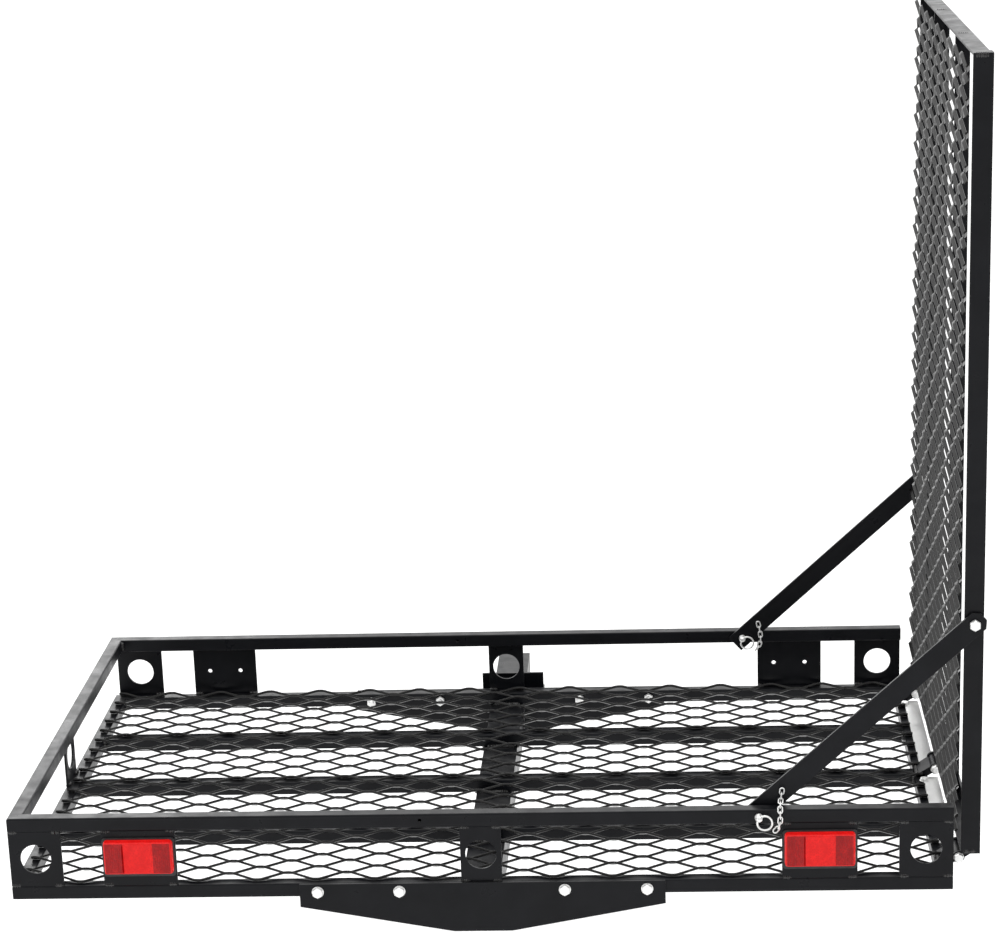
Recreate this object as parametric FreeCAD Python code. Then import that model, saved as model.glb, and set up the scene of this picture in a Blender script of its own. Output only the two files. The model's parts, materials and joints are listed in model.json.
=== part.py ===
"""Hitch-mounted cargo carrier with a fold-down loading ramp.

A welded frame of small square tube carries an expanded-metal deck on a square
hitch shank.  The ramp hinges at the right end and is held upright by two flat
braces, each locked to a top rail with a pull pin on a chain.

Frame of the part: +X points to the ramp end, +Y to the vehicle, +Z up.  The
origin is the centre of the hitch-pin hole in the shank.  All lengths are in mm.
"""

import FreeCAD
import Part
import math
import os

V = FreeCAD.Vector

# ---- driving dimensions -------------------------------------------------------
length = 1240.0            # platform, end to end along X
width = 756.0              # platform, rear face to front face along Y
frame_height = 115.0       # underside of the bottom rails to top of the top rails
rail = 19.0                # outside size of the square rail tube
rail_wall = 1.5
rail_corner = 2.0          # outer corner radius of the tubes
front_rail_short = 8.0     # the front top rail stops short of the platform's end
cross_width = 25.0         # cross members are wider than the rails
cross_pitch = 185.0        # cross member to cross member

shank = 50.0               # square hitch shank
shank_wall = 4.0
shank_reach = 230.0        # shank beyond the front face of the platform
pin_hole_from_end = 64.0   # hitch-pin hole to the end of the shank
pin_hole_radius = 8.2

lwd = 76.2                 # long way of one mesh diamond
swd = 40.6                 # short way of one mesh diamond
mesh_thickness = 3.0
mesh_end = 17.0            # platform end to the end of the deck mesh
strand = 3.6               # width of a mesh strand seen from above
bond = 18.0                # length of the joint between two diamonds

plate_thickness = 3.0
plate_inset = 0.5          # outer face of the plates behind the rails' outer faces
hole_radius = 20.5         # tie-down holes in the upright plates
corner_plate = 70.0
center_plate = 54.0
side_plate = 60.0
side_plate_shift = 12.0    # the left-hand plate sits a little ahead of the middle
bracket_plate = 98.0
bracket_offset = 447.0     # bracket centre from the middle of the platform
front_left_shift = 7.5     # the front left plate stands off the corner
front_bracket_offsets = (-443.0, 441.0)
bracket_hole_spacing = 48.0
bracket_hole_radius = 3.25

drain_x = -74.0            # small hole through the rear and front top rails
drain_radius = 2.4
gusset_half = 241.0
gusset_shift = 4.5         # both gussets stand to the right of the middle
gusset_foot_half = 38.5
gusset_shoulder = 13.0     # straight side of the gusset below the rail
gusset_thickness = 4.0
gusset_bolt_x = (-217.0, -109.0, 109.0, 217.0)
gusset_bolt_height = 8.0   # bolt centre above the underside of the rail

lens_width = 92.0
lens_height = 47.0
lens_rise = 4.0            # lens centre above the plate's centre
lens_depth = 9.0

ramp_gap = 12.0            # platform end to the front edge of the ramp rails
ramp_inset = 25.0          # ramp side rail inside the platform's front or rear face
ramp_foot = 40.0           # lower end of the ramp above the frame's underside
ramp_height = 1038.0
ramp_leg = 25.0            # leg of the side and end angles
ramp_inner_leg = 20.0
ramp_inner_offset = 142.0  # inner ramp rails from the ramp's middle
angle_wall = 3.0

hinge_ahead = 10.5         # hinge axis beyond the platform end
hinge_height = 31.0        # hinge axis above the frame's underside
hinge_bolt_radius = 4.0    # also the brace pivot bolts
hinge_barrel_radius = 6.0
hinge_barrel = 40.0
hinge_ear = 4.0
hinge_places = (60.0, 380.0, 696.0)   # barrel centres from the rear face

bridge_width = 21.0
bridge_thickness = 2.0
bridge_spans = ((108.0, 350.0), (410.0, 668.0))   # from the rear face
bridge_bolt_inset = 13.0

brace_width = 28.0
brace_thickness = 4.0
brace_gap = 1.0            # brace to the rail on one side, to the ramp on the other
brace_top_ahead = 25.0     # upper pivot beyond the platform end
brace_top_height = 357.0   # upper pivot above the frame's underside
brace_pin_back = 252.0     # lock-pin hole back from the platform end
brace_end = 15.0           # metal beyond each hole

lock_pin_radius = 4.0
running_gap = 0.05         # radial clearance of every turning or sliding fit
open_gap = 0.7             # lock-pin tip to the part that it would enter
ring_radius = 9.7
ring_wire = 1.3
link_wire = 0.9
link_length = 10.0         # straight-line length of a link over its wire centres
link_width = 5.6
link_pitch = 7.7

clamp_length = 96.0
clamp_shift = 8.0          # the loose clamp rests to the right of the shank
clamp_leg = 36.0
clamp_wall = 4.0
clamp_from_frame = 26.0
ubolt_radius = 4.0
ubolt_half = 40.0

# ---- places worked out from them ----------------------------------------------
under = shank / 2                                  # underside of the frame
deck = under + rail                                # top of the bottom rails
top = under + frame_height
left_end = -length / 2
right_end = length / 2
front = -(shank_reach - pin_hole_from_end)         # front face of the platform
rear = front - width
ramp_face = right_end + ramp_gap                   # front edge of the ramp rails
ramp_back = ramp_face + ramp_leg
ramp_rear = rear + ramp_inset
ramp_front = front - ramp_inset
ramp_low = under + ramp_foot
ramp_top = ramp_low + ramp_height
hinge_x = right_end + hinge_ahead
hinge_z = under + hinge_height
brace_x = right_end + brace_top_ahead
brace_z = under + brace_top_height
pin_x = right_end - brace_pin_back
pin_z = top - rail / 2
strip_bolt_x = right_end - rail / 2 + 2.0
strip_bolt_y = [rear + end - bridge_bolt_inset for start, end in bridge_spans]
ring_swing = math.radians(50.0)                    # rest of a pull ring off straight down


# ---- shape helpers ------------------------------------------------------------
def box(x0, x1, y0, y1, z0, z1):
    """Box between two corners."""
    return Part.makeBox(x1 - x0, y1 - y0, z1 - z0, V(x0, y0, z0))


def rod(radius, start, end):
    """Round bar from start to end."""
    axis = end.sub(start)
    return Part.makeCylinder(radius, axis.Length, start, axis)


def rod_y(radius, x, z, y0, y1):
    """Round bar along Y."""
    return rod(radius, V(x, y0, z), V(x, y1, z))


def prism(points, direction):
    """Extruded polygon."""
    wire = Part.makePolygon(points + [points[0]])
    return Part.Face(wire).extrude(direction)


def hexagon_y(across_flats, x, z, y0, y1):
    """Hexagonal bar along Y, as of a bolt head or nut."""
    radius = across_flats / math.sqrt(3)
    corners = [math.radians(60 * k) for k in range(6)]
    points = [V(x + radius * math.cos(a), y0, z + radius * math.sin(a)) for a in corners]
    return prism(points, V(0, y1 - y0, 0))


def hexagon_z(across_flats, x, y, z0, z1):
    """Hexagonal bar along Z."""
    radius = across_flats / math.sqrt(3)
    corners = [math.radians(60 * k) for k in range(6)]
    points = [V(x + radius * math.cos(a), y + radius * math.sin(a), z0) for a in corners]
    return prism(points, V(0, 0, z1 - z0))


def fuse(shapes):
    """One solid from several that meet."""
    return shapes[0].multiFuse(shapes[1:]).removeSplitter()


def group(shapes):
    """Separate solids kept in one node."""
    return Part.makeCompound(shapes)


def write(name, shape):
    """Write one node."""
    shape.exportStep("parts/" + name + ".step")


# ---- rails and cross members --------------------------------------------------
def plan(along, points, z):
    """Points given along and across a rail, placed in the part's frame."""
    if along == "x":
        return [V(a, b, z) for a, b in points]
    return [V(b, a, z) for a, b in points]


def tube(along, start, end, low, wide, z, corner=rail_corner):
    """Square or flat tube with rounded corners, open at both ends.  low is its
    lower side across, and wide its width."""
    solids = []
    for inset, radius in ((0.0, corner), (rail_wall, corner - rail_wall)):
        across = wide - 2 * inset
        tall = rail - 2 * inset
        if along == "x":
            bar = Part.makeBox(end - start, across, tall, V(start, low + inset, z + inset))
            long_edges = [e for e in bar.Edges if e.BoundBox.XLength > 1]
        else:
            bar = Part.makeBox(across, end - start, tall, V(low + inset, start, z + inset))
            long_edges = [e for e in bar.Edges if e.BoundBox.YLength > 1]
        long_edges = [e for e in long_edges if e.Length > end - start - 0.01]
        solids.append(bar.makeFillet(radius, long_edges))
    return solids[0].cut(solids[1])


def frame_rail(along, start, end, outer, inward, z, mitres):
    """Square tube whose outer side lies at outer.  A mitred end is cut at 45
    degrees for a corner, and a plain end is closed by a welded cap."""
    bar = tube(along, start, end, min(outer, outer + inward * rail), rail, z)
    for at, side, mitred in ((start, 1, mitres[0]), (end, -1, mitres[1])):
        if mitred:
            reach = rail + 1
            corner = [(at - side, outer), (at, outer), (at + side * reach, outer + inward * reach),
                      (at - side, outer + inward * reach)]
            points = plan(along, corner, z - 1)
            bar = bar.cut(prism(points, V(0, 0, rail + 2)))
        else:
            x0, x1 = sorted((at, at + side * rail_wall))
            y0, y1 = sorted((outer + inward * 0.5, outer + inward * (rail - 0.5)))
            cap = prism(plan(along, [(x0, y0), (x1, y0), (x1, y1), (x0, y1)], z + 0.5),
                        V(0, 0, rail - 1))
            bar = bar.fuse(cap)
    return bar.removeSplitter()


def cross_member(y):
    """Flat-laid tube between the left and right bottom rails."""
    return tube("x", left_end + rail, right_end - rail, y - cross_width / 2, cross_width, under)


def make_rails():
    bolt_holes = [
        rod_y(4.25, gusset_shift + x, under + gusset_bolt_height, rear - 1, front + 1)
        for x in gusset_bolt_x
    ]
    pin_hole = rod_y(lock_pin_radius + running_gap, pin_x, pin_z, rear - 1, front + 1)
    drain = rod_y(drain_radius, drain_x, pin_z + 1.0, rear - 1, front + 1)
    rail_holes = [pin_hole, drain]
    top_z = top - rail
    write("rear_top_rail",
          frame_rail("x", left_end, right_end, rear, 1, top_z, (True, False)).cut(rail_holes))
    write("front_top_rail",
          frame_rail("x", left_end, right_end - front_rail_short, front, -1, top_z,
                     (True, False)).cut(rail_holes))
    write("left_top_rail", frame_rail("y", rear, front, left_end, 1, top_z, (True, True)))
    write("rear_bottom_rail",
          frame_rail("x", left_end, right_end, rear, 1, under, (True, True)).cut(bolt_holes))
    write("front_bottom_rail",
          frame_rail("x", left_end, right_end, front, -1, under, (True, True)).cut(bolt_holes))
    write("left_bottom_rail", frame_rail("y", rear, front, left_end, 1, under, (True, True)))
    strip_holes = [rod(3.1, V(strip_bolt_x, y, under), V(strip_bolt_x, y, deck + 1))
                   for y in strip_bolt_y]
    write("right_bottom_rail",
          frame_rail("y", rear, front, right_end, -1, under, (True, True)).cut(strip_holes))
    middle = (rear + front) / 2
    for name, step in (("rear", -1), ("middle", 0), ("front", 1)):
        write(name + "_cross_member", cross_member(middle + step * cross_pitch))


# ---- shank, gussets and their bolts -------------------------------------------
def make_shank():
    half = shank / 2
    bore = half - shank_wall
    end = front + shank_reach
    tube = box(-half, half, rear, end, -half, half)
    tube = tube.cut(box(-bore, bore, rear - 1, end + 1, -bore, bore))
    cross = rod(pin_hole_radius, V(-shank, 0, 0), V(shank, 0, 0))
    write("hitch_shank", tube.cut(cross))


def gusset(y0):
    """Tapered plate bolted over a bottom rail and reaching down over the shank."""
    low = -shank / 2
    shoulder = under - gusset_shoulder
    points = [
        V(-gusset_half, y0, deck),
        V(gusset_half, y0, deck),
        V(gusset_half, y0, shoulder),
        V(gusset_foot_half, y0, low),
        V(-gusset_foot_half, y0, low),
        V(-gusset_half, y0, shoulder),
    ]
    plate = prism(points, V(0, gusset_thickness, 0))
    z = under + gusset_bolt_height
    holes = [rod_y(4.25, x, z, y0 - 1, y0 + gusset_thickness + 1) for x in gusset_bolt_x]
    return plate.cut(holes).translated(V(gusset_shift, 0, 0))


def make_gussets():
    write("rear_gusset_plate", gusset(rear - gusset_thickness))
    slot_half = shank / 2 + 0.3
    slot = box(-slot_half, slot_half, front - 1, front + gusset_thickness + 1,
               -shank, under + 0.001)
    write("front_gusset_plate", gusset(front).cut(slot))
    z = under + gusset_bolt_height
    bolts = []
    nuts = []
    for offset in gusset_bolt_x:
        x = gusset_shift + offset
        for face, inward in ((rear - gusset_thickness, 1), (front + gusset_thickness, -1)):
            inner = face + inward * (gusset_thickness + rail)
            tip = inner + inward * 9.0
            head = face - inward * 5.3
            shaft = rod_y(4.0, x, z, min(face, tip), max(face, tip))
            hexagon = hexagon_y(13.0, x, z, min(face, head), max(face, head))
            bolts.append(fuse([hexagon, shaft]))
            nut_end = inner + inward * 6.5
            nut = hexagon_y(13.0, x, z, min(inner, nut_end), max(inner, nut_end))
            nuts.append(nut.cut(rod_y(4.0, x, z, rear - 50, front + 50)))
    write("gusset_bolts", group(bolts))
    write("gusset_nuts", group(nuts))


# ---- expanded-metal sheets ----------------------------------------------------
def mesh_sheet(place, u_span, v_span, u_phase, v_phase, direction):
    """Sheet with a staggered pattern of long six-sided openings.  place turns
    (u, v) on the sheet into a point, u along the long way of the diamonds."""
    border = 3.0
    half_u = (lwd - bond) / 2
    half_v = swd / 2 - strand
    corners = [(u_span[0], v_span[0]), (u_span[1], v_span[0]),
               (u_span[1], v_span[1]), (u_span[0], v_span[1])]
    outer = [place(u, v) for u, v in corners]
    wires = [Part.makePolygon(outer + [outer[0]])]
    rows = int((v_span[1] - v_span[0]) / swd * 2) + 2
    columns = int((u_span[1] - u_span[0]) / lwd) + 2
    for row in range(-1, rows):
        v = v_phase + row * swd / 2
        for column in range(-1, columns):
            u = u_phase + (column + 0.5 * (row % 2)) * lwd
            inside_u = u_span[0] + border < u - half_u and u + half_u < u_span[1] - border
            inside_v = v_span[0] + border < v - half_v and v + half_v < v_span[1] - border
            if not (inside_u and inside_v):
                continue
            hole = [(u - half_u, v), (u - bond / 2, v - half_v), (u + bond / 2, v - half_v),
                    (u + half_u, v), (u + bond / 2, v + half_v), (u - bond / 2, v + half_v)]
            points = [place(a, b) for a, b in hole]
            wires.append(Part.makePolygon(points + [points[0]]))
    return Part.Face(wires).extrude(direction)


def make_meshes():
    edge = 6.0
    write("deck_mesh", mesh_sheet(
        lambda u, v: V(u, v, deck),
        (left_end + mesh_end, right_end - mesh_end), (rear + edge, front - edge),
        left_end + lwd / 2, rear + 18.0 + swd / 2, V(0, 0, mesh_thickness)))
    write("ramp_mesh", mesh_sheet(
        lambda u, v: V(ramp_face - mesh_thickness, u, v),
        (ramp_rear, ramp_front), (ramp_low, ramp_top),
        ramp_rear + lwd / 2, ramp_low + swd / 2, V(mesh_thickness, 0, 0)))


# ---- upright plates, brackets and reflectors ----------------------------------
def upright_x(x0, x1, y0, holes):
    """Upright plate across Y with round holes given as (x, z, radius)."""
    plate = box(x0, x1, y0, y0 + plate_thickness, deck, top - rail)
    return plate.cut([rod_y(r, x, z, y0 - 1, y0 + plate_thickness + 1) for x, z, r in holes])


def make_plates():
    hole_z = (deck + top - rail) / 2
    corner = length / 2 - corner_plate / 2
    faces = (("rear", rear + plate_inset, (-corner, gusset_shift, corner)),
             ("front", front - plate_inset - plate_thickness,
              (front_left_shift - corner, 0.0, corner - front_rail_short)))
    names = ("left_plate", "center_plate", "right_plate")
    sizes = (corner_plate, center_plate, corner_plate)
    for side, y0, places in faces:
        for name, size, x in zip(names, sizes, places):
            plate = upright_x(x - size / 2, x + size / 2, y0, [(x, hole_z, hole_radius)])
            write(side + "_" + name, plate)
    y = (rear + front) / 2 + side_plate_shift
    x0 = left_end + plate_inset
    plate = box(x0, x0 + plate_thickness, y - side_plate / 2, y + side_plate / 2,
                deck, top - rail)
    write("left_side_plate",
          plate.cut(rod(hole_radius, V(x0 - 1, y, hole_z), V(x0 + 9, y, hole_z))))


def make_brackets():
    hole_z = (deck + top - rail) / 2
    half = bracket_plate / 2
    faces = (("rear", rear + plate_inset, (-bracket_offset, bracket_offset)),
             ("front", front - plate_inset - plate_thickness, front_bracket_offsets))
    for side, y0, places in faces:
        for hand, x in zip(("left", "right"), places):
            holes = [(x + s * bracket_hole_spacing / 2, hole_z, bracket_hole_radius)
                     for s in (-1, 1)]
            write(side + "_" + hand + "_bracket", upright_x(x - half, x + half, y0, holes))


def make_reflectors():
    hole_z = (deck + top - rail) / 2
    lens_z = hole_z + lens_rise
    face = rear + plate_inset
    back = face - 3.0
    for hand, x in (("left", -bracket_offset), ("right", bracket_offset)):
        wide = lens_width / 2
        tall = lens_height / 2
        base = box(x - wide - 2, x + wide + 2, back, face, lens_z - tall - 5, lens_z + tall + 2)
        edges = [e for e in base.Edges if e.BoundBox.YLength > 1]
        base = base.makeFillet(4.0, edges)
        studs = [rod_y(bracket_hole_radius - 0.1, x + s * bracket_hole_spacing / 2, hole_z,
                       face - 1, face + plate_thickness + 4) for s in (-1, 1)]
        write(hand + "_reflector_base", fuse([base] + studs))
        lens = box(x - wide, x + wide, back - lens_depth, back, lens_z - tall, lens_z + tall)
        corners = [e for e in lens.Edges if e.BoundBox.YLength > 1]
        lens = lens.makeFillet(4.0, corners)
        rim = [e for e in lens.Edges if e.BoundBox.YMax < back - lens_depth + 0.01]
        write(hand + "_reflector_lens", lens.makeFillet(3.0, rim))


# ---- ramp ---------------------------------------------------------------------
def upright_angle(y, inward, leg, z0, z1, back):
    """Upright angle iron.  Its web stands across the ramp at y, and its flange
    lies at the back of the ramp and points inward."""
    y_web = sorted((y, y + inward * angle_wall))
    y_flange = sorted((y, y + inward * leg))
    web = box(ramp_face, back, y_web[0], y_web[1], z0, z1)
    flange = box(back - angle_wall, back, y_flange[0], y_flange[1], z0, z1)
    return fuse([web, flange])


def end_member(z_leg, upward):
    """Angle across one end of the ramp, between the webs of the side rails."""
    y0 = ramp_rear + angle_wall
    y1 = ramp_front - angle_wall
    z_shelf = sorted((z_leg, z_leg + upward * angle_wall))
    z_back = sorted((z_leg, z_leg + upward * (ramp_inner_leg - 1)))
    x_back = ramp_back - angle_wall
    shelf = box(ramp_face, x_back, y0, y1, z_shelf[0], z_shelf[1])
    back = box(x_back - angle_wall, x_back, y0, y1, z_back[0], z_back[1])
    return fuse([shelf, back])


def make_ramp_frame():
    brace_hole = rod_y(hinge_bolt_radius, brace_x, brace_z, rear - 50, front + 50)
    write("ramp_rear_side_rail",
          upright_angle(ramp_rear, 1, ramp_leg, ramp_low, ramp_top, ramp_back).cut(brace_hole))
    write("ramp_front_side_rail",
          upright_angle(ramp_front, -1, ramp_leg, ramp_low, ramp_top, ramp_back).cut(brace_hole))
    middle = (ramp_rear + ramp_front) / 2
    back = ramp_face + ramp_inner_leg - 1
    low = ramp_low + angle_wall
    high = ramp_top - angle_wall
    for name, side in (("rear", -1), ("front", 1)):
        y = middle + side * ramp_inner_offset
        write("ramp_" + name + "_inner_rail",
              upright_angle(y, -side, ramp_inner_leg, low, high, back))
    write("ramp_bottom_member", end_member(ramp_low, 1))
    write("ramp_top_member", end_member(ramp_top, -1))


# ---- ramp hinge ---------------------------------------------------------------
def hinge_ear_plate(y0):
    """Ear on the ramp's foot around the hinge bolt."""
    radius = hinge_barrel_radius + 2.0
    eye = rod_y(radius, hinge_x, hinge_z, y0, y0 + hinge_ear)
    arm = prism([V(hinge_x - 4.0, y0, hinge_z), V(hinge_x + radius, y0, hinge_z),
                 V(ramp_back - angle_wall - 1, y0, ramp_low),
                 V(ramp_face, y0, ramp_low)], V(0, hinge_ear, 0))
    hole = rod_y(hinge_bolt_radius + running_gap, hinge_x, hinge_z, y0 - 1, y0 + hinge_ear + 1)
    return fuse([eye, arm]).cut(hole)


def hinge_barrel_block(y0, y1):
    """Barrel welded on a wedge along the right bottom rail."""
    barrel = rod_y(hinge_barrel_radius, hinge_x, hinge_z, y0, y1)
    wedge = prism([V(right_end - 14, y0, deck), V(right_end, y0, deck),
                   V(hinge_x - 1.5, y0, hinge_z - 6.5), V(hinge_x - 6.5, y0, hinge_z + 2),
                   V(right_end - 14, y0, deck + 3)], V(0, y1 - y0, 0))
    bore = rod_y(hinge_bolt_radius, hinge_x, hinge_z, y0 - 1, y1 + 1)
    return fuse([barrel, wedge]).cut(bore)


def make_hinges():
    clearance = 0.4
    head = 5.5
    barrels = []
    ears = []
    bolts = []
    nuts = []
    for place in hinge_places:
        y0 = rear + place - hinge_barrel / 2
        y1 = rear + place + hinge_barrel / 2
        barrels.append(hinge_barrel_block(y0, y1))
        ears.append(hinge_ear_plate(y0 - clearance - hinge_ear))
        ears.append(hinge_ear_plate(y1 + clearance))
        outer0 = y0 - 2 * clearance - hinge_ear
        outer1 = y1 + 2 * clearance + hinge_ear
        shaft = rod_y(hinge_bolt_radius, hinge_x, hinge_z, outer0, outer1 + 10)
        bolts.append(fuse([hexagon_y(11.0, hinge_x, hinge_z, outer0 - head, outer0), shaft]))
        nut = hexagon_y(11.0, hinge_x, hinge_z, outer1, outer1 + 7)
        nuts.append(nut.cut(rod_y(hinge_bolt_radius, hinge_x, hinge_z, outer1 - 1, outer1 + 8)))
    write("hinge_barrels", group(barrels))
    write("ramp_hinge_ears", group(ears))
    write("hinge_bolts", group(bolts))
    write("hinge_nuts", group(nuts))


def make_bridge_strips():
    x1 = right_end + ramp_gap + 1.0
    x0 = x1 - bridge_width
    z = deck + bridge_thickness
    bolts = []
    for name, (start, end), y in zip(("rear", "front"), bridge_spans, strip_bolt_y):
        strip = box(x0, x1, rear + start, rear + end, deck, z)
        foot = V(strip_bolt_x, y, deck - 8)
        strip = strip.cut(rod(3.1, foot, V(strip_bolt_x, y, z + 1)))
        write(name + "_bridge_strip", strip)
        shaft = rod(3.0, foot, V(strip_bolt_x, y, z))
        bolts.append(fuse([shaft, hexagon_z(10.0, strip_bolt_x, y, z, z + 4)]))
    write("bridge_strip_bolts", group(bolts))


# ---- braces, lock pins, rings and chains --------------------------------------
def brace(y0):
    """Flat bar from the ramp's pivot bolt down to the lock pin.  Its upper end has
    clipped corners."""
    reach = V(pin_x - brace_x, 0, pin_z - brace_z)
    span = reach.Length
    turn = math.degrees(math.atan2(reach.z, reach.x))
    half = brace_width / 2
    bar = box(-brace_end, span + brace_end, 0, brace_thickness, -half, half)
    upper = [e for e in bar.Edges
             if e.BoundBox.YLength > brace_thickness - 0.1 and e.BoundBox.XMax < 0]
    bar = bar.makeChamfer(8.0, upper)
    bar = bar.cut([rod_y(hinge_bolt_radius + running_gap, 0, 0, -1, brace_thickness + 1),
                   rod_y(lock_pin_radius + running_gap, span, 0, -1, brace_thickness + 1)])
    bar.rotate(V(0, 0, 0), V(0, -1, 0), turn)
    bar.translate(V(brace_x, y0, brace_z))
    return bar


def make_braces():
    rear_y = rear + rail + brace_gap
    front_y = front - rail - brace_gap - brace_thickness
    write("rear_brace", brace(rear_y))
    write("front_brace", brace(front_y))
    bolts = []
    nuts = []
    sides = ((rear_y, ramp_rear + angle_wall, 1),
             (front_y + brace_thickness, ramp_front - angle_wall, -1))
    for outside, inside, inward in sides:
        seat = outside - inward * 0.4
        head = seat - inward * 6.0
        tip = inside + inward * 11.0
        shaft = rod_y(hinge_bolt_radius, brace_x, brace_z, min(seat, tip), max(seat, tip))
        hexagon = hexagon_y(13.0, brace_x, brace_z, min(seat, head), max(seat, head))
        bolts.append(fuse([hexagon, shaft]))
        nut_end = inside + inward * 8.0
        nut = hexagon_y(13.0, brace_x, brace_z, min(inside, nut_end), max(inside, nut_end))
        nuts.append(nut.cut(rod_y(hinge_bolt_radius, brace_x, brace_z, rear - 9, front + 9)))
    write("brace_pivot_bolts", group(bolts))
    write("brace_pivot_nuts", group(nuts))


def ring_place(y_shoulder):
    """Centre of the pin's ball, and centre of the ring that hangs from it, swung a
    little towards the ramp."""
    ball = V(pin_x, y_shoulder - 6.1, pin_z)
    fall = V(math.sin(ring_swing), 0, -math.cos(ring_swing))
    return ball, ball.add(fall.multiply(ring_radius))


def lock_pin(y_tip, y_shoulder):
    """Round pin, its tip towards +Y, with a ball head drilled for the pull ring."""
    ball, _ = ring_place(y_shoulder)
    shaft = rod_y(lock_pin_radius, pin_x, pin_z, y_shoulder - 1, y_tip)
    collar = rod_y(lock_pin_radius + 1.2, pin_x, pin_z, y_shoulder - 2.5, y_shoulder)
    along = V(math.cos(ring_swing), 0, math.sin(ring_swing))
    drill = rod(ring_wire * 2.2, ball.sub(V(along).multiply(9)), ball.add(V(along).multiply(9)))
    return fuse([shaft, collar, Part.makeSphere(4.8, ball)]).cut(drill)


def chain_link(start, end, across):
    """One closed link from start to end along the chain."""
    along = end.sub(start)
    centre = start.add(V(along).multiply(0.5))
    bend = link_width / 2
    straight = (link_length - link_width) / 2
    pieces = []
    for side in (-1, 1):
        pieces.append(rod(link_wire, V(-straight, side * bend, 0), V(straight, side * bend, 0)))
        loop = Part.makeTorus(bend, link_wire, V(side * straight, 0, 0), V(0, 0, 1))
        x0, x1 = sorted((side * straight, side * link_length))
        pieces.append(loop.common(box(x0, x1, -10, 10, -10, 10)))
    link = fuse(pieces)
    turn = FreeCAD.Rotation(along, across, V(0, 0, 0), "XYZ")
    link.Placement = FreeCAD.Placement(centre, turn)
    return link


def chain(route):
    """Links along a smooth route, each turned a quarter from the last."""
    curve = Part.BSplineCurve()
    curve.interpolate(route)
    edge = curve.toShape()
    count = round(edge.Length / link_pitch)
    stations = edge.discretize(Number=count + 1)
    links = []
    for k in range(count):
        along = stations[k + 1].sub(stations[k])
        across = V(1, 0, 0)
        if k % 2:
            across = along.cross(across)
        links.append(chain_link(stations[k], stations[k + 1], across))
    return group(links)


def make_pins():
    rear_tip = rear + rail + brace_gap - open_gap
    front_face = front - rail - brace_gap - brace_thickness
    front_tip = front - rail - open_gap
    for side, tip, shoulder in (("rear", rear_tip, rear - 0.4),
                                ("front", front_tip, front_face - 0.4)):
        write(side + "_lock_pin", lock_pin(tip, shoulder))
        _, centre = ring_place(shoulder)
        write(side + "_pull_ring", Part.makeTorus(ring_radius, ring_wire, centre, V(0, 1, 0)))


def make_chains():
    outside = 5.0                                  # chain centre-line off the face beside it
    y = rear - outside
    write("rear_pin_chain", chain([
        V(pin_x + 31, rear + 14.2, pin_z + 33), V(pin_x + 29, rear + 12, top + 9.5),
        V(pin_x + 28, rear + 3, top + 5.6), V(pin_x + 27.5, y, top - 1),
        V(pin_x + 27, y, pin_z - 8), V(pin_x + 20, y, pin_z - 18.8)]))
    y = front - rail - brace_gap - brace_thickness - outside
    write("front_pin_chain", chain([
        V(pin_x + 24, y, pin_z + 27), V(pin_x + 27.5, y, pin_z + 10),
        V(pin_x + 27, y, pin_z - 8), V(pin_x + 20, y, pin_z - 18.8)]))


# ---- anti-tilt clamp ----------------------------------------------------------
def make_clamp():
    """Angle on top of the shank, drawn down by a bolt that passes under the shank."""
    y0 = front + clamp_from_frame
    x0 = clamp_shift - clamp_length / 2
    x1 = clamp_shift + clamp_length / 2
    low = shank / 2
    upright = box(x0, x1, y0, y0 + clamp_wall, low, low + clamp_leg)
    foot = box(x0, x1, y0, y0 + clamp_leg, low, low + clamp_wall)
    y = y0 + clamp_leg / 2 + 2
    legs = [clamp_shift - ubolt_half, clamp_shift + ubolt_half]
    holes = [rod(ubolt_radius + 0.3, V(x, y, low - 1), V(x, y, low + 9)) for x in legs]
    write("clamp_angle", fuse([upright, foot]).cut(holes))
    bend = 6.0
    bottom = -low - ubolt_radius
    tip = low + clamp_wall + 14
    pieces = [rod(ubolt_radius, V(legs[0] + bend, y, bottom), V(legs[1] - bend, y, bottom))]
    for x, side in zip(legs, (1, -1)):
        pieces.append(rod(ubolt_radius, V(x, y, bottom + bend), V(x, y, tip)))
        corner = V(x + side * bend, y, bottom + bend)
        loop = Part.makeTorus(bend, ubolt_radius, corner, V(0, 1, 0))
        cx = sorted((corner.x, corner.x - side * 2 * bend))
        pieces.append(loop.common(box(cx[0], cx[1], y - 9, y + 9, bottom - 9, bottom + bend)))
    write("clamp_u_bolt", fuse(pieces))
    nuts = []
    for x in legs:
        nut = hexagon_z(13.0, x, y, low + clamp_wall, low + clamp_wall + 6.5)
        nuts.append(nut.cut(rod(ubolt_radius, V(x, y, low), V(x, y, low + 20))))
    write("clamp_nuts", group(nuts))


os.makedirs("parts", exist_ok=True)
make_rails()
make_shank()
make_gussets()
make_meshes()
make_plates()
make_brackets()
make_reflectors()
make_ramp_frame()
make_hinges()
make_bridge_strips()
make_braces()
make_pins()
make_chains()
make_clamp()
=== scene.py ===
"""Looks of the hitch cargo carrier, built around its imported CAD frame.

The CAD rails, plates, braces, pins and chains stay and get materials.  The
expanded-metal sheets, the reflector lenses, the bolts and nuts and the weld beads
are modelled here.  Everything is in metres in the part's own frame: +X to the
ramp end, +Y to the vehicle, +Z up.
"""

import json
import math
import random

import bmesh
import bpy
from mathutils import Matrix, Vector


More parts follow.
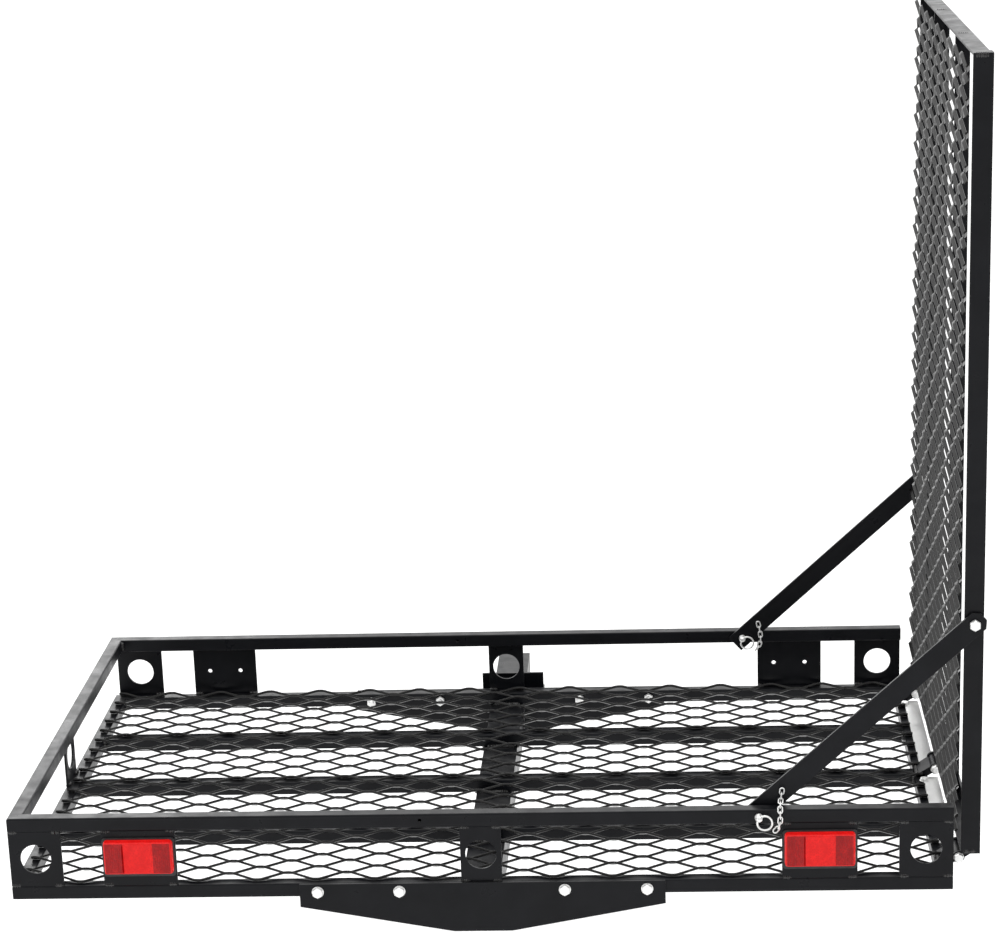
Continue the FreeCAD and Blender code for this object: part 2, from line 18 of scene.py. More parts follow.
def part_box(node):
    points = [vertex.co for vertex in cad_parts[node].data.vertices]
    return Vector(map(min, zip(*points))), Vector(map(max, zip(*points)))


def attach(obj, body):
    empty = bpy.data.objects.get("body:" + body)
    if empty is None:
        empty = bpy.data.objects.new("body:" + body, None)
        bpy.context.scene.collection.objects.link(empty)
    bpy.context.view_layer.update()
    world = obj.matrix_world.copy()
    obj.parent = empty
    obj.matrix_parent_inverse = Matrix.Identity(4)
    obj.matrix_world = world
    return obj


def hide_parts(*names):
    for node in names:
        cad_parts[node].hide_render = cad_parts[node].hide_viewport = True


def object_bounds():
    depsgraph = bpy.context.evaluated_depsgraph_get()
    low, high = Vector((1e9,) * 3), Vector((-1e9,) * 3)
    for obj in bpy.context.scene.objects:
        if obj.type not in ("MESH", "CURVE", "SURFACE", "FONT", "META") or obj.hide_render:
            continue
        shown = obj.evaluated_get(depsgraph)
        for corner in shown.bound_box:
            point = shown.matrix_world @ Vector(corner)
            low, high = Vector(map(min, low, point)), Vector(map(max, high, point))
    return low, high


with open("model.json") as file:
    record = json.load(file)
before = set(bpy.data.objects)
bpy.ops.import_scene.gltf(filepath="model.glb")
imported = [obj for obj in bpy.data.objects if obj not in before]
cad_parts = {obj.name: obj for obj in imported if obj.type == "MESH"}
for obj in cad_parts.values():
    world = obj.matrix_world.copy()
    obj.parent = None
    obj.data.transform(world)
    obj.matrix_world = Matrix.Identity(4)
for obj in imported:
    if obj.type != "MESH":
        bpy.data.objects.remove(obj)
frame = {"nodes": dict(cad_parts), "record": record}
cad_low, cad_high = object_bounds()

MM = 0.001
random.seed(7)

# ---- sizes of what is modelled here -------------------------------------------
bond = 4.0 * MM            # length of the joint between two diamonds
bend = 5.0 * MM            # length over which a strand turns out of a joint
mesh_overhang = 9.0 * MM   # how far the deck's sheet laps the side rails beyond its CAD slab
deck_row = 0.5 * MM        # first row of joints from the deck sheet's rear edge
ramp_row = 15.5 * MM       # lowest row of joints above the ramp sheet's foot
ramp_half_pitches = 17     # between the joints nearest its two side edges
ramp_stub = 20.0 * MM      # strand ends past the joints nearest the rear side rail
weld_radius = 3.8 * MM
weld_length = 13.0 * MM
weld_step = 0.9 * MM       # between the ripples' rings
weld_sides = 10
weld_inset = 2 * MM        # of a bead's ends from the edges of a rail
shank_weld_inset = 4 * MM
lens_corner = 5.0 * MM     # radius of a reflector lens's corners
lens_rim = 4.0 * MM        # width of its rounded rim
lens_flute = 2.6 * MM      # pitch of the flutes on its two ends
lens_middle = (0.29, 0.715)  # its smooth middle, as shares of the width
lens_cells = (92, 34)      # grid of its face
floor_drop = 0.35          # of the floor below the lowest point

# ---- camera and light ---------------------------------------------------------
camera_place = Vector((0.2581, -4.3315, 1.5197))
camera_yaw = -0.055        # to the left of +Y
camera_pitch = 0.301       # downwards
camera_roll = -0.033
camera_lens = 101.6
camera_shift = (-0.023, 0.109)


class Sheet:
    """Sizes of one expanded-metal sheet."""

    def __init__(self, long_way, short_way, width, thickness, tilt):
        self.long_way = long_way * MM        # pitch of the diamonds
        self.short_way = short_way * MM
        self.width = width * MM              # of a strand
        self.thickness = thickness * MM
        self.tilt = math.radians(tilt)       # of a strand out of the sheet
        self.half_step = self.width / 2 * math.cos(self.tilt)
        self.lift = self.width / 2 * math.sin(self.tilt)
        self.half_height = 2 * abs(self.lift) + self.thickness / 2 * math.cos(self.tilt)


DECK = Sheet(78.4, 41.16, 5.0, 3.0, -32.0)
RAMP = Sheet(78.4, 40.6, 5.2, 2.1, 45.0)


# ---- materials ----------------------------------------------------------------
DUST = (0.10, 0.098, 0.095, 1)
# Lighter tone of the edges: thin coat there, and a painted edge highlight as well.
THIN_COAT_AND_HIGHLIGHT = (0.10, 0.10, 0.105, 1)
edge_radius = 0.9 * MM     # of the coat over a sharp edge


class Nodes:
    """Short way to build a shader tree around one Principled BSDF."""

    def __init__(self, name):
        self.material = bpy.data.materials.new(name)
        self.material.use_nodes = True
        self.tree = self.material.node_tree
        self.shader = self.tree.nodes["Principled BSDF"]
        self.place = self.add("ShaderNodeTexCoord").outputs["Object"]

    def add(self, kind, links=None, **settings):
        node = self.tree.nodes.new(kind)
        for key, value in settings.items():
            setattr(node, key, value)
        for key, value in (links or {}).items():
            self.feed(node.inputs[key], value)
        return node

    def feed(self, socket, value):
        if isinstance(value, bpy.types.NodeSocket):
            self.tree.links.new(value, socket)
        else:
            socket.default_value = value

    def noise(self, scale, detail=4.0, rough=0.55, place=None):
        node = self.add("ShaderNodeTexNoise", {
            "Vector": place or self.place, "Scale": scale, "Detail": detail,
            "Roughness": rough})
        return node.outputs["Fac"]

    def stretched(self, scale):
        node = self.add("ShaderNodeMapping", {"Vector": self.place, "Scale": scale})
        return node.outputs["Vector"]

    def ramp(self, value, low, high, out_low=0.0, out_high=1.0):
        node = self.add("ShaderNodeMapRange", {
            "Value": value, "From Min": low, "From Max": high,
            "To Min": out_low, "To Max": out_high})
        return node.outputs["Result"]

    def mix(self, factor, first, second):
        node = self.add("ShaderNodeMix", data_type="RGBA")
        self.feed(node.inputs["Factor"], factor)
        self.feed(node.inputs["A"], first)
        self.feed(node.inputs["B"], second)
        return node.outputs["Result"]

    def math(self, operation, first, second):
        node = self.add("ShaderNodeMath", operation=operation)
        self.feed(node.inputs[0], first)
        self.feed(node.inputs[1], second)
        return node.outputs[0]

    def bump(self, height, strength, distance, normal=None):
        node = self.add("ShaderNodeBump", {
            "Height": height, "Strength": strength, "Distance": distance})
        if normal:
            self.feed(node.inputs["Normal"], normal)
        return node.outputs["Normal"]

    def rounded(self, radius):
        """Normal of the surface with its edges softened."""
        return self.add("ShaderNodeBevel", {"Radius": radius}, samples=6).outputs["Normal"]

    def worn_and_highlit_edges(self, soft):
        """1 where the softened normal leaves the true one, broken up by noise."""
        true = self.add("ShaderNodeNewGeometry").outputs["Normal"]
        dot = self.add("ShaderNodeVectorMath", operation="DOT_PRODUCT")
        self.feed(dot.inputs[0], soft)
        self.feed(dot.inputs[1], true)
        edge = self.ramp(dot.outputs["Value"], 0.995, 0.93)
        return self.math("MULTIPLY", edge, self.ramp(self.noise(90.0, 6.0, 0.7), 0.35, 0.65))

    def upward(self):
        """1 on faces that look up."""
        normal = self.add("ShaderNodeNewGeometry").outputs["Normal"]
        z = self.add("ShaderNodeSeparateXYZ", {"Vector": normal}).outputs["Z"]
        return self.ramp(z, 0.6, 0.95)

    def finish(self, color, roughness, normal, **constants):
        self.feed(self.shader.inputs["Base Color"], color)
        self.feed(self.shader.inputs["Roughness"], roughness)
        self.feed(self.shader.inputs["Normal"], normal)
        for name, value in constants.items():
            self.shader.inputs[name.replace("_", " ")].default_value = value
        return self.material


def powder_coat(name, color, light, roughness, peel, gloss):
    """Black powder coat: fine orange peel, softened edges lightened for thin spots in the coat and
    for a painted edge highlight, a little dust on the faces that look up."""
    n = Nodes(name)
    cloud = n.ramp(n.noise(14.0, 5.0), 0.35, 0.7)
    tone = n.mix(cloud, color, light)
    dust = n.math("MULTIPLY", n.upward(), n.ramp(n.noise(35.0, 6.0, 0.65), 0.42, 0.72, 0.0, 0.22))
    tone = n.mix(dust, tone, DUST)
    soft = n.rounded(edge_radius)
    # Edges lightened: thin coat, and a painted edge highlight.
    tone = n.mix(n.math("MULTIPLY", n.worn_and_highlit_edges(soft), 0.25), tone, THIN_COAT_AND_HIGHLIGHT)
    rough = n.ramp(n.noise(45.0, 3.0), 0.3, 0.7, roughness - 0.07, roughness + 0.09)
    coat = n.bump(n.noise(700.0, 2.0), peel, 0.0004, soft)
    coat = n.bump(n.noise(120.0, 3.0), peel * 0.5, 0.0006, coat)
    return n.finish(tone, rough, coat, Specular_IOR_Level=gloss)


def zinc():
    """Bright zinc plate with faint drawn lines and dull spots."""
    n = Nodes("zinc_plate")
    lines = n.noise(1.0, 3.0, 0.5, n.stretched((90.0, 6.0, 90.0)))
    spots = n.ramp(n.noise(40.0, 3.0), 0.4, 0.7)
    tone = n.mix(spots, (0.94, 0.94, 0.93, 1), (0.88, 0.88, 0.87, 1))
    tone = n.mix(n.ramp(lines, 0.35, 0.65, 0.0, 0.10), tone, (0.72, 0.72, 0.72, 1))
    rough = n.ramp(spots, 0.0, 1.0, 0.34, 0.44)
    return n.finish(tone, rough, n.bump(lines, 0.02, 0.0002), Metallic=0.8)


def weld():
    """Bare weld metal, coated thinly and rubbed pale in scattered spots."""
    n = Nodes("weld_bead")
    spots = n.ramp(n.noise(420.0, 5.0, 0.7), 0.35, 0.7)
    tone = n.mix(spots, (0.006, 0.006, 0.007, 1), (0.040, 0.039, 0.038, 1))
    rough = n.ramp(spots, 0.0, 1.0, 0.16, 0.36)
    return n.finish(tone, rough, n.bump(n.noise(600.0, 4.0), 0.5, 0.0005))


def lens_material(name, dark, light, painted_glow):
    """Red plastic over fine prisms; the light they send back is painted in as a faint glow."""
    n = Nodes(name)
    cloud = n.ramp(n.noise(60.0, 3.0), 0.3, 0.7)
    prisms = n.add("ShaderNodeTexVoronoi", {"Vector": n.place, "Scale": 420.0})
    cells = n.ramp(prisms.outputs["Distance"], 0.1, 0.7)
    tone = n.mix(n.math("MULTIPLY", cells, cloud), dark, light)
    scratches = n.noise(1.0, 5.0, 0.6, n.stretched((260.0, 900.0, 700.0)))
    rough = n.ramp(scratches, 0.4, 0.7, 0.12, 0.28)
    # Emission: a painted glow standing in for the light the prisms send back.
    n.feed(n.shader.inputs["Emission Color"], tone)
    return n.finish(tone, rough, n.bump(cells, 0.10, 0.0003),
                    Specular_IOR_Level=0.22, Emission_Strength=painted_glow)


def moulded_plastic():
    """Black moulded plastic with a fine spark-eroded grain."""
    n = Nodes("black_plastic")
    tone = n.mix(n.ramp(n.noise(80.0), 0.3, 0.7), (0.014, 0.014, 0.015, 1), (0.03, 0.03, 0.031, 1))
    rough = n.ramp(n.noise(200.0), 0.3, 0.7, 0.42, 0.6)
    return n.finish(tone, rough, n.bump(n.noise(1500.0, 2.0), 0.25, 0.0003))


BLACK = powder_coat("powder_coat", (0.0034, 0.0037, 0.0050, 1), (0.0062, 0.0067, 0.0088, 1),
                    0.34, 0.10, 0.17)
MESH_BLACK = powder_coat("mesh_coat", (0.0038, 0.0038, 0.0037, 1), (0.0100, 0.0096, 0.0090, 1),
                         0.32, 0.16, 0.28)
ZINC = zinc()
WELD = weld()
# Both lenses get a painted glow, stronger on the bright middle than on the fluted ends.
LENS = lens_material("red_lens", (0.56, 0.005, 0.005, 1), (0.74, 0.011, 0.010, 1), 0.26)
LENS_ENDS = lens_material("red_lens_ends", (0.25, 0.002, 0.003, 1), (0.46, 0.006, 0.007, 1), 0.12)
PLASTIC = moulded_plastic()
BY_SLOT = {"black_powder_coat": BLACK, "zinc_plate": ZINC, "red_lens": LENS,
           "black_plastic": PLASTIC}


def paint_frame():
    """Every carried-over CAD node gets the material of its slot."""
    slots = {s["node"]: s["material_slot"] for s in frame["record"]["subparts"]}
    for node, obj in frame["nodes"].items():
        if not obj.material_slots:
            obj.data.materials.append(None)
        for slot in obj.material_slots:
            slot.material = BY_SLOT[slots[node]]


# ---- mesh helpers -------------------------------------------------------------
def new_piece(name, build, material, body, smooth_angle=0.6, replaces=()):
    """Mesh object filled by build(bmesh), riding on a CAD body."""
    bm = bmesh.new()
    build(bm)
    bmesh.ops.recalc_face_normals(bm, faces=bm.faces)
    data = bpy.data.meshes.new(name)
    bm.to_mesh(data)
    bm.free()
    data.materials.append(material)
    obj = bpy.data.objects.new(name, data)
    bpy.context.scene.collection.objects.link(obj)
    data.shade_smooth()
    data.set_sharp_from_angle(angle=smooth_angle)
    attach(obj, body)
    if replaces:
        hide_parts(*replaces)
    return obj


def skin(bm, rings):
    """Closed tube through rings of points, its ends capped."""
    rows = [[bm.verts.new(p) for p in ring] for ring in rings]
    count = len(rows[0])
    for first, second in zip(rows, rows[1:]):
        for k in range(count):
            m = (k + 1) % count
            bm.faces.new((first[k], first[m], second[m], second[k]))
    bm.faces.new(rows[0][::-1])
    bm.faces.new(rows[-1])


def around(start, turn, radius, angle, along):
    """Point at an angle round an axis from start; turn takes +Z to that axis."""
    return start + turn @ Vector((radius * math.cos(angle), radius * math.sin(angle), along))


def lathe(bm, start, axis, profile, sides=28):
    """Solid turned about an axis.  profile lists (distance along, radius)."""
    turn = axis.to_track_quat("Z", "Y").to_matrix()
    rings = []
    for along, radius in profile:
        ring = []
        for k in range(sides):
            a = 2 * math.pi * k / sides
            ring.append(around(start, turn, radius, a, along))
        rings.append(ring)
    skin(bm, rings)


# ---- expanded metal -----------------------------------------------------------
def strand_section(sheet):
    """Corners of a strand's cross-section (across, height), edges a little rounded."""
    long_half, short_half = sheet.width / 2, sheet.thickness / 2
    cut = 0.35 * MM
    flat = [(long_half, short_half - cut), (long_half - cut, short_half),
            (-long_half + cut, short_half), (-long_half, short_half - cut),
            (-long_half, -short_half + cut), (-long_half + cut, -short_half),
            (long_half - cut, -short_half), (long_half, -short_half + cut)]
    c, s = math.cos(sheet.tilt), math.sin(sheet.tilt)
    return [(a * c - b * s, a * s + b * c) for a, b in flat]


def expanded_metal(name, sheet, place, u_span, v_span, u_phase, v_phase, body, node):
    """Raised expanded metal: slit strands that zigzag between the rows of bonds.
    place turns (u, v, height) on the sheet into a point."""
    section = strand_section(sheet)
    half_step, lift = sheet.half_step, sheet.lift
    lwd, short_way = sheet.long_way, sheet.short_way
    rows = int((v_span[1] - v_span[0]) / (short_way / 2)) + 2

    def stations(row):
        """Centre-line points (u, v, height) of the strand between two bond rows."""
        low = v_phase + row * short_way / 2 + half_step
        high = v_phase + (row + 1) * short_way / 2 - half_step
        slope = (high - low) / (lwd / 2 - bond - bend)
        start = int((u_span[0] - u_phase) / lwd) - 2
        first = u_phase + (0.5 * (row % 2) + 0.5 + start) * lwd
        points = []
        k = 0
        while first + k * lwd / 2 < u_span[1] + lwd:
            at = first + k * lwd / 2
            v, w, way = (low, lift, 1) if k % 2 == 0 else (high, -lift, -1)
            turned = way * slope * bend / 2
            eased = way * lift * bend / (lwd / 2 - bond - bend)
            for reach, rise, drop in ((-1.0, turned, eased), (-0.5, turned / 4, eased / 4)):
                points.append((at + reach * bend - bond / 2, v + rise, w - drop))
            points += [(at - bond / 2, v, w), (at + bond / 2, v, w)]
            for reach, rise, drop in ((0.5, turned / 4, eased / 4), (1.0, turned, eased)):
                points.append((at + reach * bend + bond / 2, v + rise, w - drop))
            k += 1
        return points

    def clipped(points):
        kept = []
        for a, b in zip(points, points[1:]):
            for edge in u_span:
                if a[0] < edge < b[0]:
                    t = (edge - a[0]) / (b[0] - a[0])
                    kept.append(tuple(p + (q - p) * t for p, q in zip(a, b)))
            if u_span[0] < b[0] < u_span[1]:
                kept.append(b)
        return kept

    def build(bm):
        for row in range(-1, rows):
            low = v_phase + row * short_way / 2
            if low < v_span[0] - 1e-6 or low + short_way / 2 > v_span[1] + 1e-6:
                continue
            line = clipped(stations(row))
            rings = [[place(u, v + a, w + b) for a, b in section] for u, v, w in line]
            skin(bm, rings)

    return new_piece(name, build, MESH_BLACK, body, 0.5, (node,))


def make_meshes():
    low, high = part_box("deck_mesh")
    expanded_metal(
        "deck_expanded_metal", DECK,
        lambda u, v, w: Vector((u, v, low.z + DECK.half_height + w)),
        (low.x - mesh_overhang, high.x + mesh_overhang),
        (low.y, high.y),
        (low.x + high.x) / 2 - DECK.long_way / 4, low.y + deck_row,
        "platform", "deck_mesh")
    low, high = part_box("ramp_mesh")
    rear_edge = high.y - ramp_half_pitches * RAMP.long_way / 2 - ramp_stub
    expanded_metal(
        "ramp_expanded_metal", RAMP,
        lambda u, v, w: Vector((high.x - RAMP.half_height + w, u, v)),
        (rear_edge, high.y), (low.z, high.z),
        high.y - RAMP.long_way / 2, low.z + ramp_row,
        "ramp", "ramp_mesh")


# ---- reflector lenses ---------------------------------------------------------
def make_lens(node):
    """Moulded lens: a smooth bright middle between two fluted, darker ends."""
    low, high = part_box(node)
    wide, tall, deep = high.x - low.x, high.z - low.z, high.y - low.y
    middle = (low + high) / 2
    columns, rows = lens_cells
    corner = lens_corner
    band = lens_middle

    def rounded(x, z):
        """Square corners of the grid pulled in to round ones."""
        dx, dz = x - middle.x, z - middle.z
        a = (abs(dx) - (wide / 2 - corner)) / corner
        b = (abs(dz) - (tall / 2 - corner)) / corner
        if a > 0 and b > 0:
            ra = a * math.sqrt(1 - b * b / 2)
            rb = b * math.sqrt(1 - a * a / 2)
            dx = math.copysign(wide / 2 - corner + ra * corner, dx)
            dz = math.copysign(tall / 2 - corner + rb * corner, dz)
        return middle.x + dx, middle.z + dz

    def depth(x, z):
        """How far the face stands out at a point, rounded down to the rim."""
        edge = min(x - low.x, high.x - x, z - low.z, high.z - z)
        rim = min(1.0, max(0.0, edge / lens_rim))
        rise = deep * (0.30 + 0.70 * math.sqrt(1 - (1 - rim) ** 2))
        share = (x - low.x) / wide
        if rim == 1.0 and not band[0] < share < band[1]:
            turn = 2 * math.pi * (x - low.x) / lens_flute
            rise -= 0.6 * MM * (0.5 + 0.5 * math.cos(turn))
        if rim == 1.0 and min(abs(share - band[0]), abs(share - band[1])) < 0.012:
            rise -= 0.8 * MM
        return rise

    def build(bm):
        grid = []
        for j in range(rows + 1):
            line = []
            for i in range(columns + 1):
                x = low.x + wide * i / columns
                z = low.z + tall * j / rows
                face_y = high.y - depth(x, z)
                x, z = rounded(x, z)
                line.append(bm.verts.new((x, face_y, z)))
            grid.append(line)
        for j in range(rows):
            for i in range(columns):
                face = bm.faces.new((grid[j][i], grid[j][i + 1],
                                     grid[j + 1][i + 1], grid[j + 1][i]))
                share = (i + 0.5) / columns
                rim = min(i, columns - 1 - i) < 3 or min(j, rows - 1 - j) < 2
                face.material_index = 0 if rim or band[0] < share < band[1] else 1
        edges = [e for e in bm.edges if e.is_boundary]
        made = bmesh.ops.extrude_edge_only(bm, edges=edges)["geom"]
        back = [v for v in made if isinstance(v, bmesh.types.BMVert)]
        for v in back:
            v.co.y = high.y
        bm.faces.new(sorted(back, key=lambda v: math.atan2(v.co.z - middle.z,
                                                           v.co.x - middle.x)))

    lens = new_piece(node.replace("_lens", "_prism_lens"), build, LENS,
                     "platform", 0.5, (node,))
    lens.data.materials.append(LENS_ENDS)


# ---- bolts and nuts -----------------------------------------------------------
def solids_of(node):
    """Vertices of each separate solid in a CAD node."""
    bm = bmesh.new()
    bm.from_mesh(frame["nodes"][node].data)
    bmesh.ops.remove_doubles(bm, verts=bm.verts, dist=1e-6)
    left = set(bm.verts)
    found = []
    while left:
        queue = [left.pop()]
        island = []
        while queue:
            v = queue.pop()
            island.append(v.co.copy())
            for e in v.link_edges:
                other = e.other_vert(v)
                if other in left:
                    left.remove(other)
                    queue.append(other)
        found.append(island)
    bm.free()
    return sorted(found, key=lambda island: tuple(round(c, 4) for c in island_centre(island)))


def island_centre(island):
    low = Vector(min(p[k] for p in island) for k in range(3))
    high = Vector(max(p[k] for p in island) for k in range(3))
    return (low + high) / 2


def hexagon(bm, start, axis, height, flat_radius):
    """Hexagonal bar, its corners turned off at both ends."""
    turn = axis.to_track_quat("Z", "Y").to_matrix()
    corner_radius = flat_radius / math.cos(math.pi / 6)
    cut = 0.14 * height
    rings = []
    for along, limit in ((0, 0.97 * flat_radius), (cut, corner_radius),
                         (height - cut, corner_radius), (height, 0.95 * flat_radius)):
        ring = []
        for k in range(48):
            a = 2 * math.pi * k / 48
            side = (a + math.pi / 6) % (math.pi / 3) - math.pi / 6
            radius = min(flat_radius / math.cos(side), limit)
            ring.append(around(start, turn, radius, a, along))
        rings.append(ring)
    skin(bm, rings)


def threaded_rod(bm, start, axis, length, radius, pitch=1.25 * MM):
    """Rod with rolled ridges and a turned-down tip."""
    profile = [(0, radius * 0.97)]
    count = int(length / pitch)
    for k in range(count):
        profile.append(((k + 0.25) * length / count, radius))
        profile.append(((k + 0.75) * length / count, radius * 0.88))
    profile += [(length - 0.4 * MM, radius * 0.86), (length, radius * 0.74)]
    lathe(bm, start, axis, profile, 20)


def remake_fasteners(node, axis, body):
    """Hex bolts or nuts of one CAD node, with chamfers and threads."""

    def build(bm):
        for island in solids_of(node):
            centre = island_centre(island)
            along = [(p - centre).dot(axis) for p in island]
            away = [((p - centre) - axis * a).length for p, a in zip(island, along)]
            corner = max(away)
            hexes = [a for a, r in zip(along, away) if r > corner * 0.95]
            head_low, head_high = min(hexes), max(hexes)
            flat = corner * math.cos(math.pi / 6)
            hexagon(bm, centre + axis * head_low, axis, head_high - head_low, flat)
            shaft = min(r for r in away if r > 0.3 * MM)
            for end, head, way in ((max(along), head_high, 1), (min(along), head_low, -1)):
                reach = (end - head) * way
                if reach < 1 * MM:
                    continue
                threaded_rod(bm, centre + axis * head, axis * way, reach, shaft)
                if body == "platform":
                    washer = [(0, flat * 1.18), (0.1 * MM, flat * 1.22),
                              (0.5 * MM, flat * 1.22), (0.6 * MM, flat * 1.18)]
                    lathe(bm, centre + axis * (head - 0.5 * MM * way), axis * way, washer)

    new_piece(node + "_turned", build, ZINC, body, 0.5, (node,))


def make_fasteners():
    along_y = Vector((0, 1, 0))
    for node, axis, body in (("gusset_bolts", along_y, "platform"),
                             ("gusset_nuts", along_y, "platform"),
                             ("hinge_bolts", along_y, "platform"),
                             ("hinge_nuts", along_y, "platform"),
                             ("brace_pivot_bolts", along_y, "ramp"),
                             ("brace_pivot_nuts", along_y, "ramp"),
                             ("bridge_strip_bolts", Vector((0, 0, 1)), "platform"),
                             ("clamp_nuts", Vector((0, 0, 1)), "platform")):
        remake_fasteners(node, axis, body)


# ---- weld beads ---------------------------------------------------------------
def bead(bm, start, end):
    """Rippled weld bead between two points."""
    axis = end - start
    length = axis.length
    turn = axis.to_track_quat("Z", "Y").to_matrix()
    count = max(6, int(length / weld_step))
    rings = []
    phase = random.uniform(0, 6.28)
    for k in range(count + 1):
        t = k / count
        taper = math.sqrt(max(0.02, 1 - (2 * t - 1) ** 8))
        ripple = 0.14 * math.sin(phase + k * 2.1)
        size = weld_radius * taper * (1 + ripple + random.uniform(-0.05, 0.05))
        ring = []
        for m in range(weld_sides):
            a = 2 * math.pi * m / weld_sides
            ring.append(around(start, turn, size, a, length * t))
        rings.append(ring)
    skin(bm, rings)


def weld_piece(name, lines, body):
    def build(bm):
        for start, end in lines:
            bead(bm, Vector(start), Vector(end))

    new_piece(name, build, WELD, body, 1.2)


def plate_welds():
    """Short beads at the lower and upper corners of every upright plate."""
    lines = []
    for node in frame["nodes"]:
        upright = node.endswith("_bracket") or node.endswith("_plate")
        if not upright or "gusset" in node:
            continue
        low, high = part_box(node)
        for z in (low.z + 0.6 * MM, high.z - 0.6 * MM):
            if node == "left_side_plate":
                lines += [((high.x, low.y, z), (high.x, low.y + weld_length, z)),
                          ((high.x, high.y - weld_length, z), (high.x, high.y, z))]
            else:
                y = high.y if node.startswith("rear") else low.y
                lines += [((low.x, y, z), (low.x + weld_length, y, z)),
                          ((high.x - weld_length, y, z), (high.x, y, z))]
    weld_piece("plate_welds", lines, "platform")


def frame_welds():
    """Beads where the cross members meet the side rails and the shank, where the
    rails meet the shank, and in the corners of the frame."""
    lines = []
    shank_low, shank_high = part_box("hitch_shank")

    def across_shank(y, z):
        lines.append(((shank_low.x + shank_weld_inset, y, z),
                      (shank_high.x - shank_weld_inset, y, z)))

    def upright(x, y, low, high):
        lines.append(((x, y, low.z + weld_inset), (x, y, high.z - weld_inset)))

    for side in ("rear", "middle", "front"):
        low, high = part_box(side + "_cross_member")
        for x in (low.x, high.x):
            for y in (low.y, high.y):
                upright(x, y, low, high)
        for x in (shank_low.x, shank_high.x):
            lines.append(((x, low.y + weld_inset, low.z), (x, high.y - weld_inset, low.z)))
        for y in (low.y, high.y):
            across_shank(y, low.z)
    for side in ("rear", "front"):
        low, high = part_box(side + "_bottom_rail")
        across_shank(high.y if side == "rear" else low.y, low.z)
    low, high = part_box("left_top_rail")
    rail = high.x - low.x
    for level in ("top", "bottom"):
        for end in ("left", "right"):
            if (level, end) == ("top", "right"):
                continue
            low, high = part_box(end + "_" + level + "_rail")
            x = high.x if end == "left" else low.x
            for y in (low.y + rail, high.y - rail):
                upright(x, y, low, high)
    weld_piece("frame_welds", lines, "platform")


def hinge_welds():
    """Beads along the feet of the hinge barrels."""
    lines = []
    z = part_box("right_bottom_rail")[1].z
    for island in solids_of("hinge_barrels"):
        low_y, high_y = min(p.y for p in island), max(p.y for p in island)
        x = min(p.x for p in island)
        lines.append(((x, low_y + weld_inset, z), (x, high_y - weld_inset, z)))
    weld_piece("hinge_welds", lines, "platform")


def ramp_welds():
    """Beads where the inner rails meet the end members, and the end members the
    side rails."""
    lines = []

    def across(y, z, low, high):
        lines.append(((low.x + weld_inset, y, z), (high.x - weld_inset, y, z)))

    for end in ("bottom", "top"):
        low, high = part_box("ramp_" + end + "_member")
        z = high.z - 16 * MM if end == "bottom" else low.z + 16 * MM
        for y in (low.y, high.y):
            across(y, z, low, high)
        for side in ("rear", "front"):
            inner_low, inner_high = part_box("ramp_" + side + "_inner_rail")
            y = inner_low.y if side == "rear" else inner_high.y
            across(y, z, inner_low, inner_high)
    weld_piece("ramp_welds", lines, "ramp")


# ---- floor, light and camera --------------------------------------------------
def make_floor():
    data = bpy.data.meshes.new("floor")
    size, height = 80.0, cad_low.z - floor_drop
    corners = [(-size, -size, height), (size, -size, height), (size, size, height),
               (-size, size, height)]
    data.from_pydata(corners, [], [(0, 1, 2, 3)])
    n = Nodes("floor_paint")
    tone = n.mix(n.noise(3.0), (0.93, 0.93, 0.93, 1), (0.96, 0.96, 0.96, 1))
    data.materials.append(n.finish(tone, n.ramp(n.noise(20.0), 0, 1, 0.8, 0.95),
                                   n.bump(n.noise(60.0), 0.05, 0.001)))
    floor = bpy.data.objects.new("floor", data)
    bpy.context.scene.collection.objects.link(floor)


def area_light(name, place, target, size, power):
    data = bpy.data.lights.new(name, "AREA")
    data.shape = "RECTANGLE"
    data.size, data.size_y = size
    data.energy = power
    light = bpy.data.objects.new(name, data)
    light.location = place
    light.rotation_euler = (Vector(target) - Vector(place)).to_track_quat("-Z", "Y").to_euler()
    bpy.context.scene.collection.objects.link(light)


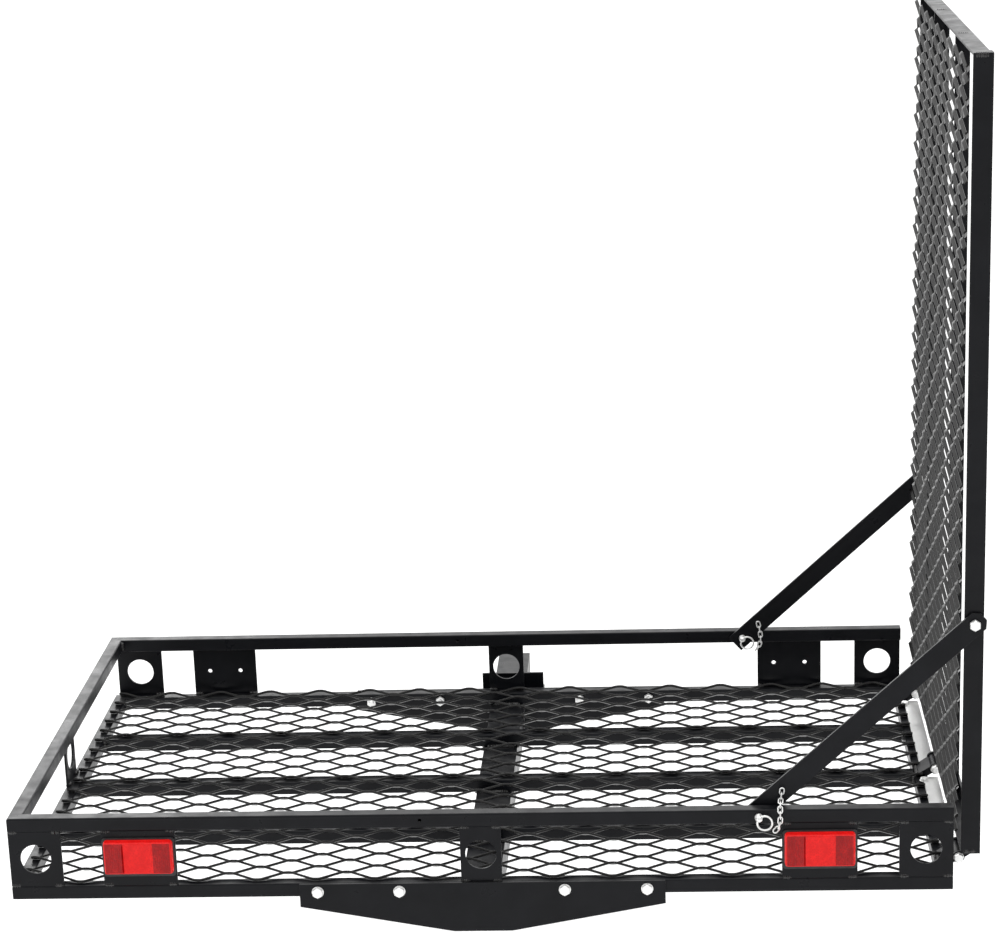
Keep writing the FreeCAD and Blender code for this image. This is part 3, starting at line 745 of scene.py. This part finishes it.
def make_world():
    """White room: bright overhead and behind the part, dim behind the camera, so
    that black faces turned to the camera stay black."""
    world = bpy.data.worlds.new("studio")
    world.use_nodes = True
    tree = world.node_tree
    background = tree.nodes["Background"]
    background.inputs["Color"].default_value = (1, 1, 1, 1)
    place = tree.nodes.new("ShaderNodeTexCoord")
    split = tree.nodes.new("ShaderNodeSeparateXYZ")
    tree.links.new(place.outputs["Generated"], split.inputs["Vector"])
    parts = []
    for axis, low, high in (("Y", -0.1, 0.5), ("Z", 0.25, 0.75)):
        ramp = tree.nodes.new("ShaderNodeMapRange")
        ramp.inputs["From Min"].default_value = low
        ramp.inputs["From Max"].default_value = high
        tree.links.new(split.outputs[axis], ramp.inputs["Value"])
        parts.append(ramp.outputs["Result"])
    most = tree.nodes.new("ShaderNodeMath")
    most.operation = "MAXIMUM"
    tree.links.new(parts[0], most.inputs[0])
    tree.links.new(parts[1], most.inputs[1])
    strength = tree.nodes.new("ShaderNodeMapRange")
    strength.inputs["To Min"].default_value = 0.06
    strength.inputs["To Max"].default_value = 1.6
    tree.links.new(most.outputs[0], strength.inputs["Value"])
    tree.links.new(strength.outputs["Result"], background.inputs["Strength"])
    bpy.context.scene.world = world


def make_light():
    middle = (0.0, -0.5, 0.2)
    area_light("overhead", (0.0, 0.2, 3.2), middle, (4.5, 3.5), 25)
    area_light("left_bank", (-3.0, -2.4, 2.0), middle, (1.6, 1.6), 5)
    area_light("back_left", (-1.5, 3.2, 1.6), (-0.62, -0.5, 0.1), (1.0, 0.9), 13)
    area_light("right_bank", (3.2, -1.6, 2.2), middle, (1.4, 1.8), 5)


def make_camera():
    data = bpy.data.cameras.new("camera")
    data.sensor_width = 36.0
    data.lens = camera_lens
    data.shift_x, data.shift_y = camera_shift
    data.clip_end = 100.0
    camera = bpy.data.objects.new("camera", data)
    sin_yaw, cos_yaw = math.sin(camera_yaw), math.cos(camera_yaw)
    sin_pitch, cos_pitch = math.sin(camera_pitch), math.cos(camera_pitch)
    ahead = Vector((sin_yaw * cos_pitch, cos_yaw * cos_pitch, -sin_pitch))
    right = Vector((cos_yaw, -sin_yaw, 0))
    up = right.cross(ahead)
    sin_roll, cos_roll = math.sin(camera_roll), math.cos(camera_roll)
    x_axis = right * cos_roll + up * sin_roll
    y_axis = up * cos_roll - right * sin_roll
    turn = Matrix((x_axis, y_axis, -ahead)).transposed().to_4x4()
    camera.matrix_world = Matrix.Translation(camera_place) @ turn
    bpy.context.scene.collection.objects.link(camera)
    bpy.context.scene.camera = camera


paint_frame()
make_meshes()
make_lens("left_reflector_lens")
make_lens("right_reflector_lens")
make_fasteners()
plate_welds()
frame_welds()
hinge_welds()
ramp_welds()
make_floor()
make_world()
make_light()
make_camera()
bpy.context.scene.view_settings.view_transform = "Standard"
